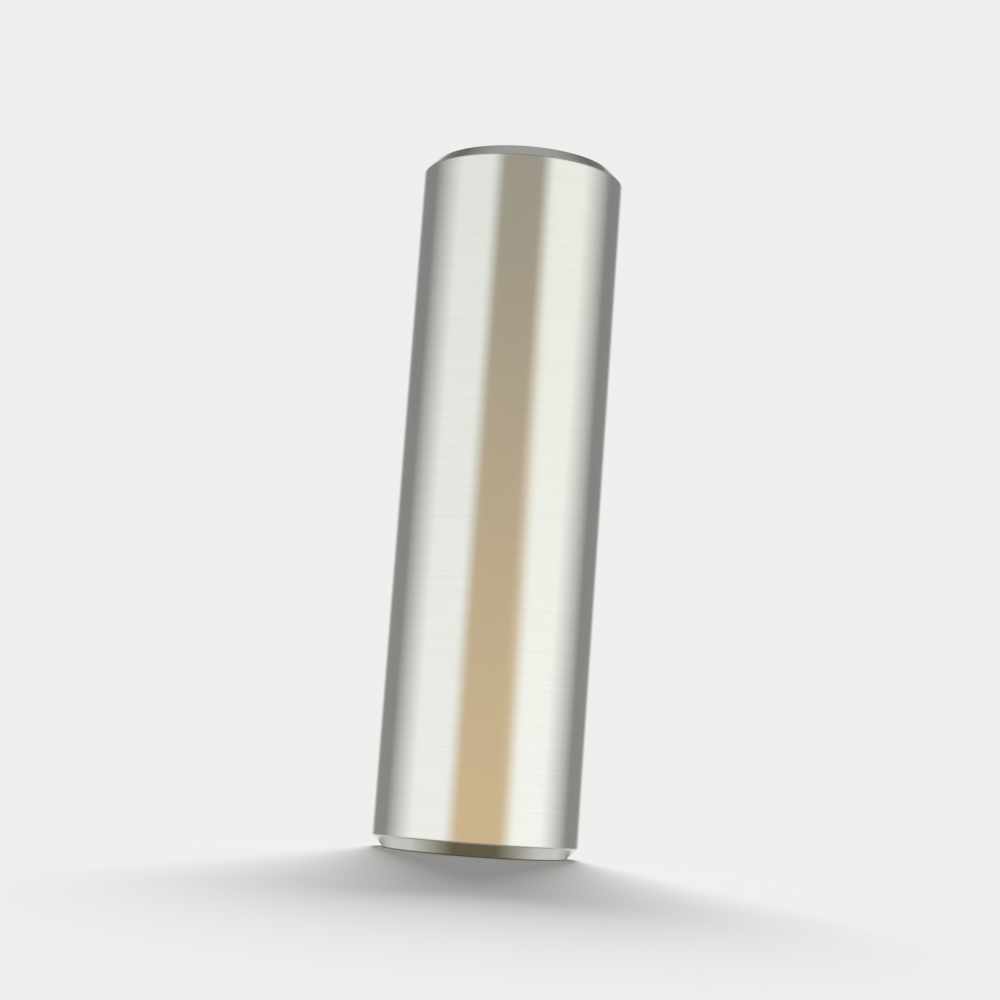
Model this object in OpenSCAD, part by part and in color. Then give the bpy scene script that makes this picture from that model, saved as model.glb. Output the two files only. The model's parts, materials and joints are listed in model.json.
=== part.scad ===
// Gudgeon pin: a hollow pin of hardened steel that joins a piston to its connecting rod.
// It is turned and drilled through from bar, then ground on the outside.
// Its axis is Z and it stands on one end face, with the origin in the middle of that face.

/* [Journal] */
// Outside diameter of the ground journal
pin_d = 10; // [6:0.5:30]
// Length over the two end faces
pin_l = 34; // [16:0.5:100]

/* [Bore] */
// Wall between the through bore and the journal
wall = 2; // [0.8:0.1:2.9]

/* [Ends] */
// Width of the 45 degree chamfer round the outside of each end
edge_chamfer = 0.6; // [0.2:0.05:0.9]
// Width of the 45 degree chamfer at each mouth of the bore
mouth_chamfer = 0.5; // [0.2:0.05:0.9]
// Radius that tumbling leaves on the edges of the chamfers
edge_blend = 0.2; // [0.05:0.05:0.45]

/* [Hidden] */
$fn = 96;

// Largest share of the wall for one chamfer, so that a flat ring always stays on each end
chamfer_share = 0.45;
// Angle that the outline turns through at each edge of a chamfer
edge_turn = 45;

pin_r = pin_d / 2;
bore_r = pin_r - wall;
outer_chamfer = min(edge_chamfer, chamfer_share * wall);
inner_chamfer = min(mouth_chamfer, chamfer_share * wall);

// Width of the flat ring on each end, and the blend that the ring and the chamfers leave room for
ring_w = wall - outer_chamfer - inner_chamfer;
blend_r = min(edge_blend, ring_w, outer_chamfer, inner_chamfer);

// Distance from a sharp corner to the start of its blend, and to the centre of its blend
blend_start = blend_r * tan(edge_turn / 2);
blend_reach = blend_r / cos(edge_turn / 2);

// Sharp corners of the half section as [radius, height], anticlockwise from the bore's lower end
corners = [
    [bore_r, inner_chamfer],
    [bore_r + inner_chamfer, 0],
    [pin_r - outer_chamfer, 0],
    [pin_r, outer_chamfer],
    [pin_r, pin_l - outer_chamfer],
    [pin_r - outer_chamfer, pin_l],
    [bore_r + inner_chamfer, pin_l],
    [bore_r, pin_l - inner_chamfer],
];
last = len(corners) - 1;

function unit(v) = v / norm(v);
function to_next(i) = unit(corners[i == last ? 0 : i + 1] - corners[i]);
function to_previous(i) = unit(corners[i == 0 ? last : i - 1] - corners[i]);
function blend_centre(i) = corners[i] + blend_reach * unit(to_next(i) + to_previous(i));

// Half section with each corner cut off between the two ends of its blend
module clipped_section() {
    polygon([
        for (i = [0:last], side = [to_previous(i), to_next(i)]) corners[i] + blend_start * side
    ]);
}

// Half section with the round of each blend put back
module section() {
    clipped_section();
    for (i = [0:last]) translate(blend_centre(i)) circle(r = blend_r);
}

module gudgeon_pin() {
    color([0.72, 0.71, 0.68]) rotate_extrude() section();
}

gudgeon_pin();
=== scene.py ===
import json
import math

import bpy
import numpy as np
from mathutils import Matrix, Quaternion, Vector


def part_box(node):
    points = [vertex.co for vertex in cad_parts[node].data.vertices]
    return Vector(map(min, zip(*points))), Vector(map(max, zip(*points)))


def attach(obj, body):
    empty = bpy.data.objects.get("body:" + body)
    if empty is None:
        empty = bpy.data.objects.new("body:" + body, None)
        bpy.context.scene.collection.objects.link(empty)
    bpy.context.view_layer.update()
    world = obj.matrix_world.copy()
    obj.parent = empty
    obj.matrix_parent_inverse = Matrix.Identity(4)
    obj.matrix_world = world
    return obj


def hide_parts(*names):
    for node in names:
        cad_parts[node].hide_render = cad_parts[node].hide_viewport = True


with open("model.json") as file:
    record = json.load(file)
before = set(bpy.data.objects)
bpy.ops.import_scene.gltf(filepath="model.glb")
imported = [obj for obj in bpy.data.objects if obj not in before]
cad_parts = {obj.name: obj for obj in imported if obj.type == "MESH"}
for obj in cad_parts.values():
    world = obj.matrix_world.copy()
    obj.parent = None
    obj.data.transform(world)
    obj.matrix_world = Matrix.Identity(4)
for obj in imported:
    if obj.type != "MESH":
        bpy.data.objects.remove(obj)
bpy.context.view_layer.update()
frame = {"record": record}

# Gudgeon pin
# One hollow pin of hardened steel: turned and drilled through from bar, then ground and polished outside.
# Its sizes come from the frame: the two round mounts give the radii, and the lengths between the blends.
MM = 0.001
CHAMFER_ANGLE = math.radians(45)
mounts = {mount["name"]: mount["dims"] for mount in frame["record"]["mounts"]}
low_corner, high_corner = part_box("gudgeon_pin")
pin_length = high_corner.z - low_corner.z
journal_radius = mounts["journal"]["r_mm"] * MM
bore_radius = mounts["bore"]["r_mm"] * MM
edge_blend = 0.2 * MM
blend_start = edge_blend * math.tan(CHAMFER_ANGLE / 2)
outer_chamfer = (pin_length - mounts["journal"]["length_mm"] * MM) / 2 - blend_start
mouth_chamfer = (pin_length - mounts["bore"]["length_mm"] * MM) / 2 - blend_start
BLEND_STEPS = 8
PIN_SIDES = 384
GROUND, TURNED, FACED, DRILLED = range(4)


def pin_section():
    """Half section of the pin: eight corners joined by straight lines, with each corner rounded by an arc.

    Each corner's arc is centred where the two lines, moved inwards by the blend radius, cross. Its points
    are that centre plus the blend radius times a normal that turns evenly from one line's to the next's.
    Returns points and outward normals as (radius, height) rows, and the finish after each point.
    """
    corners = np.array([
        (bore_radius, mouth_chamfer),
        (bore_radius + mouth_chamfer, 0),
        (journal_radius - outer_chamfer, 0),
        (journal_radius, outer_chamfer),
        (journal_radius, pin_length - outer_chamfer),
        (journal_radius - outer_chamfer, pin_length),
        (bore_radius + mouth_chamfer, pin_length),
        (bore_radius, pin_length - mouth_chamfer),
    ])
    after_corner = np.array([TURNED, FACED, TURNED, GROUND, TURNED, FACED, TURNED, DRILLED])
    along = np.roll(corners, -1, axis=0) - corners
    normal_after = np.arctan2(-along[:, 0], along[:, 1])
    turn = np.angle(np.exp(1j * (normal_after - np.roll(normal_after, 1))))
    normal_before = normal_after - turn
    halfway = normal_after - turn / 2
    reach = edge_blend / np.cos(turn / 2)
    centres = corners - reach[:, None] * np.stack([np.cos(halfway), np.sin(halfway)], axis=1)
    share = np.linspace(0, 1, BLEND_STEPS + 1)
    angle = normal_before[:, None] + turn[:, None] * share
    normals = np.stack([np.cos(angle), np.sin(angle)], axis=2)
    points = centres[:, None, :] + edge_blend * normals
    finish = np.full(angle.shape, TURNED)
    finish[:, -1] = after_corner
    return points.reshape(-1, 2), normals.reshape(-1, 2), finish.ravel()


def turned_mesh(name, points, normals, finish, sides):
    """Closed mesh of a section spun about Z.

    At each angle a point (radius, height) becomes radius times the angle's cosine and sine, at that height.
    """
    angle = np.linspace(0, 2 * math.pi, sides, endpoint=False)
    spoke = np.stack([np.cos(angle), np.sin(angle)], axis=1)

    def spun(rows):
        """Rows of (radius, height) at every angle, one row after another, as (x, y, z)."""
        flat = rows[:, None, :1] * spoke[None, :, :]
        height = np.broadcast_to(rows[:, None, 1:], (len(rows), sides, 1))
        return np.concatenate([flat, height], axis=2).reshape(-1, 3)

    grid = np.arange(len(points) * sides).reshape(len(points), sides)
    above = np.roll(grid, -1, axis=0)
    faces = np.stack([grid, np.roll(grid, -1, axis=1), np.roll(above, -1, axis=1), above], axis=2)
    mesh = bpy.data.meshes.new(name)
    mesh.from_pydata(spun(points), [], faces.reshape(-1, 4))
    mesh.polygons.foreach_set("material_index", np.repeat(finish, sides).astype(np.int32))
    mesh.polygons.foreach_set("use_smooth", np.ones(len(mesh.polygons), bool))
    mesh.normals_split_custom_set_from_vertices(spun(normals))
    mesh.update()
    return mesh


QUARTER_TURN = 0.25
# Range that most of a noise texture's values lie in
NOISE_LOW = 0.3
NOISE_HIGH = 0.7
# Waves that a wave texture of scale 1 fits into one unit of length
WAVES_PER_UNIT = 20 / (2 * math.pi)
RING_DETAIL = 3
RING_DETAIL_SCALE = 0.3


def steel(name, anisotropy):
    """Bare steel whose tool marks run round the axis, so that its gloss spreads across them."""
    material = bpy.data.materials.new(name)
    material.use_nodes = True
    shader = material.node_tree.nodes["Principled BSDF"]
    shader.inputs["Metallic"].default_value = 1
    shader.inputs["Anisotropic"].default_value = anisotropy
    shader.inputs["Anisotropic Rotation"].default_value = QUARTER_TURN
    around = material.node_tree.nodes.new("ShaderNodeTangent")
    around.direction_type = "RADIAL"
    around.axis = "Z"
    material.node_tree.links.new(around.outputs["Tangent"], shader.inputs["Tangent"])
    return material


def stretched_noise(material, round_scale, height_scale, detail):
    """Noise on Object coordinates, scaled by waves per metre across the axis and along it."""
    nodes = material.node_tree.nodes
    links = material.node_tree.links
    place = nodes.new("ShaderNodeTexCoord")
    stretch = nodes.new("ShaderNodeMapping")
    stretch.inputs["Scale"].default_value = (round_scale, round_scale, height_scale)
    noise = nodes.new("ShaderNodeTexNoise")
    noise.inputs["Scale"].default_value = 1
    noise.inputs["Detail"].default_value = detail
    links.new(place.outputs["Object"], stretch.inputs["Vector"])
    links.new(stretch.outputs["Vector"], noise.inputs["Vector"])
    return noise.outputs["Fac"]


def tool_rings(material, wave_type, pitch, unevenness):
    """Uneven sine of the distance from the axis (RINGS) or along it (BANDS), with one wave to a pitch."""
    nodes = material.node_tree.nodes
    place = nodes.new("ShaderNodeTexCoord")
    wave = nodes.new("ShaderNodeTexWave")
    wave.wave_type = wave_type
    wave.rings_direction = "Z"
    wave.bands_direction = "Z"
    wave.inputs["Scale"].default_value = 1 / (pitch * WAVES_PER_UNIT)
    wave.inputs["Distortion"].default_value = unevenness
    wave.inputs["Detail"].default_value = RING_DETAIL
    wave.inputs["Detail Scale"].default_value = RING_DETAIL_SCALE
    material.node_tree.links.new(place.outputs["Object"], wave.inputs["Vector"])
    return wave.outputs["Fac"]


def spread(material, marks, low, high):
    """Marks stretched evenly, so that the middle of their range runs from low to high."""
    stretch = material.node_tree.nodes.new("ShaderNodeMapRange")
    stretch.inputs["From Min"].default_value = NOISE_LOW
    stretch.inputs["From Max"].default_value = NOISE_HIGH
    stretch.inputs["To Min"].default_value = low
    stretch.inputs["To Max"].default_value = high
    material.node_tree.links.new(marks, stretch.inputs["Value"])
    return stretch.outputs["Result"]


def tint(material, marks, dark, light):
    """Base colour between two steels, by the marks."""
    nodes = material.node_tree.nodes
    links = material.node_tree.links
    blend = nodes.new("ShaderNodeMix")
    blend.data_type = "RGBA"
    blend.inputs["A"].default_value = (*dark, 1)
    blend.inputs["B"].default_value = (*light, 1)
    links.new(spread(material, marks, 0, 1), blend.inputs["Factor"])
    links.new(blend.outputs["Result"], nodes["Principled BSDF"].inputs["Base Color"])


def polish(material, marks, smooth, dull):
    """Roughness between two values, by the marks."""
    shader = material.node_tree.nodes["Principled BSDF"]
    material.node_tree.links.new(spread(material, marks, smooth, dull), shader.inputs["Roughness"])


def relief(material, marks, depth):
    """Bump as deep as the marks."""
    nodes = material.node_tree.nodes
    links = material.node_tree.links
    bump = nodes.new("ShaderNodeBump")
    bump.inputs["Distance"].default_value = depth
    links.new(marks, bump.inputs["Height"])
    links.new(bump.outputs["Normal"], nodes["Principled BSDF"].inputs["Normal"])


def ground_journal():
    """Outside, ground and polished: hair-fine marks round the pin, and broad faint clouds in the polish."""
    material = steel("ground_journal", anisotropy=0.5)
    hairlines = stretched_noise(material, round_scale=220, height_scale=11000, detail=3)
    clouds = stretched_noise(material, round_scale=150, height_scale=110, detail=2)
    tint(material, hairlines, dark=(0.745, 0.750, 0.725), light=(0.775, 0.780, 0.755))
    polish(material, clouds, smooth=0.12, dull=0.17)
    relief(material, hairlines, depth=0.0004 * MM)
    return material


def turned_edge():
    """Chamfers and blends, turned and tumbled: fine tool rings, worn soft."""
    material = steel("turned_edge", anisotropy=0.5)
    rings = tool_rings(material, "BANDS", pitch=0.08 * MM, unevenness=3)
    clouds = stretched_noise(material, round_scale=500, height_scale=500, detail=3)
    tint(material, clouds, dark=(0.69, 0.69, 0.67), light=(0.75, 0.75, 0.73))
    polish(material, clouds, smooth=0.20, dull=0.28)
    relief(material, rings, depth=0.0008 * MM)
    return material


def faced_end():
    """Flat rings on the ends, faced on the lathe: tool rings about the axis."""
    material = steel("faced_end", anisotropy=0.5)
    rings = tool_rings(material, "RINGS", pitch=0.11 * MM, unevenness=3)
    clouds = stretched_noise(material, round_scale=450, height_scale=450, detail=3)
    tint(material, clouds, dark=(0.66, 0.66, 0.64), light=(0.73, 0.73, 0.71))
    polish(material, rings, smooth=0.24, dull=0.32)
    relief(material, rings, depth=0.0010 * MM)
    return material


def drilled_bore():
    """Bore, drilled and left as hardened: rings from the drill's feed, and patches of dull brown oxide."""
    material = steel("drilled_bore", anisotropy=0.3)
    feed_rings = tool_rings(material, "BANDS", pitch=0.22 * MM, unevenness=4)
    oxide = stretched_noise(material, round_scale=420, height_scale=260, detail=4)
    tint(material, oxide, dark=(0.53, 0.50, 0.46), light=(0.66, 0.65, 0.62))
    polish(material, oxide, smooth=0.34, dull=0.48)
    relief(material, feed_rings, depth=0.0030 * MM)
    return material


pin = bpy.data.objects.new("pin", turned_mesh("pin", *pin_section(), PIN_SIDES))
bpy.context.scene.collection.objects.link(pin)
for surface in (ground_journal(), turned_edge(), faced_end(), drilled_bore()):
    pin.data.materials.append(surface)
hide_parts("gudgeon_pin")
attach(pin, "root")

# Floor
# A plain pale sheet under the pin, wide enough to reach the horizon.
floor_reach = 4.0
floor_colour = (0.86, 0.86, 0.85)
floor_corners = [
    (-floor_reach, -floor_reach, 0),
    (floor_reach, -floor_reach, 0),
    (floor_reach, floor_reach, 0),
    (-floor_reach, floor_reach, 0),
]
floor_mesh = bpy.data.meshes.new("floor")
floor_mesh.from_pydata(floor_corners, [], [(0, 1, 2, 3)])
floor = bpy.data.objects.new("floor", floor_mesh)
bpy.context.scene.collection.objects.link(floor)
floor_material = bpy.data.materials.new("pale_floor")
floor_material.use_nodes = True
floor_shader = floor_material.node_tree.nodes["Principled BSDF"]
floor_shader.inputs["Base Color"].default_value = (*floor_colour, 1)
floor_shader.inputs["Roughness"].default_value = 1
floor_shader.inputs["Specular IOR Level"].default_value = 0
floor_mesh.materials.append(floor_material)

# Light
# An even tent of light, and one soft lamp straight behind the pin, so that its shadow falls to the front.
# Together they light the floor to 1. A ray from the camera, from gloss or through glass that misses the
# floor meets the floor's own colour, so that the floor has no edge.
tent_light = 0.31
lamp_softness = math.radians(20)
lamp_up = math.radians(40)
lamp_light = (1 - tent_light) * math.pi / math.sin(lamp_up)
world = bpy.data.worlds.new("tent")
bpy.context.scene.world = world
world.use_nodes = True
sky = world.node_tree.nodes
sky_links = world.node_tree.links
tent = sky["Background"]
tent.inputs["Color"].default_value = (1, 1, 1, 1)
tent.inputs["Strength"].default_value = tent_light
backdrop = sky.new("ShaderNodeBackground")
backdrop.inputs["Color"].default_value = (*floor_colour, 1)
path = sky.new("ShaderNodeLightPath")
camera_or_gloss = sky.new("ShaderNodeMath")
camera_or_gloss.operation = "MAXIMUM"
sky_links.new(path.outputs["Is Camera Ray"], camera_or_gloss.inputs[0])
sky_links.new(path.outputs["Is Glossy Ray"], camera_or_gloss.inputs[1])
seen = sky.new("ShaderNodeMath")
seen.operation = "MAXIMUM"
sky_links.new(camera_or_gloss.outputs["Value"], seen.inputs[0])
sky_links.new(path.outputs["Is Transmission Ray"], seen.inputs[1])
shown = sky.new("ShaderNodeMixShader")
sky_links.new(seen.outputs["Value"], shown.inputs["Fac"])
sky_links.new(tent.outputs["Background"], shown.inputs[1])
sky_links.new(backdrop.outputs["Background"], shown.inputs[2])
sky_links.new(shown.outputs["Shader"], sky["World Output"].inputs["Surface"])

lamp_data = bpy.data.lights.new("soft_lamp", "SUN")
lamp_data.energy = lamp_light
lamp_data.angle = lamp_softness
lamp = bpy.data.objects.new("soft_lamp", lamp_data)
bpy.context.scene.collection.objects.link(lamp)
to_lamp = Vector((0, math.cos(lamp_up), math.sin(lamp_up)))
lamp.rotation_mode = "QUATERNION"
lamp.rotation_quaternion = to_lamp.to_track_quat("Z", "Y")
lamp.visible_glossy = False

# Screens
# Glowing screens that only reflections show, painting reflections as round a small turned part in a studio:
# a wall, warm towards the camera, white on each side of that and grey beyond, a dark slip at the pin's foot
# as painted shadow, and a grey sheet overhead.
# Their bearings are in degrees from the camera's side rightwards.
wall_reach = 0.18
wall_height = 0.26
wall_start = 0.001
wall_lift = 0.0003
wall_fade_start = 150
wall_end = 165
fade_height = 0.085
warm_left = -28.5
warm_right_low = 34.4
warm_right_high = 27.3
warm_softness = 14
white_fade_start = 75
white_fade_end = 119
# Colours of the painted reflection by bearing: warm, white glowing above 1, and grey beyond, each low at the
# floor and high above
warm_low, warm_high = np.array([(0.80, 0.60, 0.36), (0.41, 0.385, 0.32)])
left_low, left_high = np.array([(1.09, 1.10, 1.07), (0.97, 0.99, 0.95)])
right_low, right_high = np.array([(1.17, 1.18, 1.14), (1.06, 1.08, 1.02)])
grey_low, grey_high = np.array([(0.31, 0.31, 0.30), (0.28, 0.285, 0.28)])
WALL_STEPS = 660


def reflection_screen(name, points, faces, colour, cover):
    """Glowing screen that only glossy rays meet, a painted reflection: its points shine with their colours
    and hide by their cover.
    """
    mesh = bpy.data.meshes.new(name)
    mesh.from_pydata(points, [], faces)
    shine = mesh.attributes.new("shine", "FLOAT_COLOR", "POINT")
    shine.data.foreach_set("color", np.column_stack([colour, cover]).ravel().astype(np.float32))
    material = bpy.data.materials.new(name)
    material.use_nodes = True
    nodes = material.node_tree.nodes
    links = material.node_tree.links
    nodes.clear()
    shine_here = nodes.new("ShaderNodeAttribute")
    shine_here.attribute_name = "shine"
    clear = nodes.new("ShaderNodeBsdfTransparent")
    glow = nodes.new("ShaderNodeEmission")
    share = nodes.new("ShaderNodeMixShader")
    out = nodes.new("ShaderNodeOutputMaterial")
    links.new(shine_here.outputs["Color"], glow.inputs["Color"])
    links.new(shine_here.outputs["Alpha"], share.inputs["Fac"])
    links.new(clear.outputs["BSDF"], share.inputs[1])
    links.new(glow.outputs["Emission"], share.inputs[2])
    links.new(share.outputs["Shader"], out.inputs["Surface"])
    mesh.materials.append(material)
    piece = bpy.data.objects.new(name, mesh)
    bpy.context.scene.collection.objects.link(piece)
    piece.visible_camera = False
    piece.visible_diffuse = False
    piece.visible_shadow = False


def rising(value, start, end):
    """0 up to the start, 1 from the end on, and a straight rise between them."""
    return np.clip((value - start) / (end - start), 0, 1)


def wall():
    """Line of a floor strip and a wall, as (distance out, height) rows, carried round the pin by bearing.

    At each bearing the strip starts on the journal at half that bearing, where the journal mirrors that way
    to the camera, and runs straight out, so that the stripes it shows there stay straight down to the floor.
    The glowing colour, a painted reflection in the pin, goes from warm to white to grey by bearing, and from
    its low to its high value by height.
    The warm part narrows upwards on its right.
    """
    bearing = np.linspace(-wall_end, wall_end, WALL_STEPS + 1)
    line = np.array([
        (wall_start, wall_lift),
        (wall_reach, wall_lift),
        (wall_reach, fade_height),
        (wall_reach, wall_height),
    ])

    def compass(degrees):
        """Level unit vector towards each bearing."""
        angle = np.radians(degrees)
        return np.stack([np.sin(angle), -np.cos(angle)], axis=1)

    on_journal = journal_radius * compass(bearing / 2)
    flat = on_journal[None, :, :] + line[:, None, :1] * compass(bearing)[None, :, :]
    height = np.broadcast_to(line[:, None, 1:], (len(line), len(bearing), 1))
    points = np.concatenate([flat, height], axis=2).reshape(-1, 3)
    grid = np.arange(len(points)).reshape(len(line), len(bearing))
    faces = np.stack([grid[:-1, :-1], grid[:-1, 1:], grid[1:, 1:], grid[1:, :-1]], axis=2)

    up = rising(line[:, 1], 0, fade_height)[:, None, None]

    def faded(low, high):
        """Low value at the floor, going evenly to the high value at the fade height and above."""
        return low + (high - low) * up

    half_soft = warm_softness / 2
    across = bearing[None, :, None]
    warm_right = faded(warm_right_low, warm_right_high)
    past_left = rising(across, warm_left - half_soft, warm_left + half_soft)
    past_right = rising(across, warm_right - half_soft, warm_right + half_soft)
    warm = past_left * (1 - past_right)
    grey = rising(np.abs(across), white_fade_start, white_fade_end)
    right = across > 0
    white = np.where(right, faded(right_low, right_high), faded(left_low, left_high))
    side = white + (faded(grey_low, grey_high) - white) * grey
    colour = side + (faded(warm_low, warm_high) - side) * warm
    cover = np.tile(1 - rising(np.abs(bearing), wall_fade_start, wall_end), len(line))
    reflection_screen("screen_wall", points, faces.reshape(-1, 4), colour.reshape(-1, 3), cover)


wall()

# The slip paints the pin's contact shadow into the lower chamfer: dark in front, pale towards the sides
slip_lift = 0.00005
slip_width = 0.001
slip_pale_start = 13
slip_pale_end = 42
slip_fade_start = 60
slip_end = 85
slip_shadow, slip_pale = np.array([(0.165, 0.14, 0.085), (0.75, 0.74, 0.70)])
SLIP_STEPS = 170


def painted_foot_shadow():
    """Painted shadow: a curved slip on the floor under the lower chamfer, dark where the pin shades the
    floor, which the chamfer mirrors; an arc about the axis, widened straight outwards.

    By bearing it is dark in front, turns pale towards the sides and then fades out.
    """
    bearing = np.linspace(-slip_end, slip_end, SLIP_STEPS + 1)
    angle = np.radians(bearing)
    outward = np.stack([np.sin(angle), -np.cos(angle), np.zeros(len(angle))], axis=1)
    inner_edge = (journal_radius - outer_chamfer) * outward
    points = np.concatenate([inner_edge, inner_edge + slip_width * outward]) + np.array([0, 0, slip_lift])
    grid = np.arange(len(points)).reshape(2, -1)
    faces = np.stack([grid[1, :-1], grid[1, 1:], grid[0, 1:], grid[0, :-1]], axis=1)
    pale = rising(np.abs(bearing), slip_pale_start, slip_pale_end)[:, None]
    colour = slip_shadow + (slip_pale - slip_shadow) * pale
    cover = 1 - rising(np.abs(bearing), slip_fade_start, slip_end)
    reflection_screen("screen_foot_shadow", points, faces, np.tile(colour, (2, 1)), np.tile(cover, 2))


painted_foot_shadow()

# The overhead sheet glows grey only in reflections: it paints the grey tone of the ends and chamfers, darker
# outwards
overhead_height = 0.20
overhead_radii = np.array([0.06, 0.15, 0.30])
overhead_greys = np.array([(0.46, 0.46, 0.45), (0.15, 0.15, 0.145), (0.14, 0.14, 0.135)])
OVERHEAD_SIDES = 64


def overhead():
    """Round glowing grey sheet above the pin, a painted reflection which the ends and their chamfers mirror:
    a disc with rings round it.

    Each circle's points are its radius times the angle's cosine and sine, and its grey is darker outwards.
    """
    angle = np.linspace(0, 2 * math.pi, OVERHEAD_SIDES, endpoint=False)
    flat = overhead_radii[:, None, None] * np.stack([np.cos(angle), np.sin(angle)], axis=1)
    height = np.full((*flat.shape[:2], 1), overhead_height)
    points = np.concatenate([flat, height], axis=2).reshape(-1, 3)
    grid = np.arange(len(points)).reshape(len(overhead_radii), OVERHEAD_SIDES)
    ahead = np.roll(grid, -1, axis=1)
    rings = np.stack([grid[:-1], ahead[:-1], ahead[1:], grid[1:]], axis=2)
    faces = [grid[0].tolist()] + rings.reshape(-1, 4).tolist()
    colour = np.repeat(overhead_greys, OVERHEAD_SIDES, axis=0)
    reflection_screen("screen_overhead", points, faces, colour, np.ones(len(points)))


overhead()

# Camera
# Just above the floor and looking a little up the pin, turned so that the pin leans as in the photograph.
camera_distance = 0.100
camera_height = 0.004
aim_up = math.radians(7.55)
lean = math.radians(4.2)
lens = 73.5
nearest_seen = 0.005
camera_data = bpy.data.cameras.new("camera")
camera_data.lens = lens
camera_data.clip_start = nearest_seen
camera = bpy.data.objects.new("camera", camera_data)
bpy.context.scene.collection.objects.link(camera)
camera.location = (0, -camera_distance, camera_height)
looking = Vector((0, math.cos(aim_up), math.sin(aim_up)))
camera.rotation_mode = "QUATERNION"
camera.rotation_quaternion = looking.to_track_quat("-Z", "Y") @ Quaternion((0, 0, 1), lean)
bpy.context.scene.camera = camera
bpy.context.scene.view_settings.view_transform = "Standard"
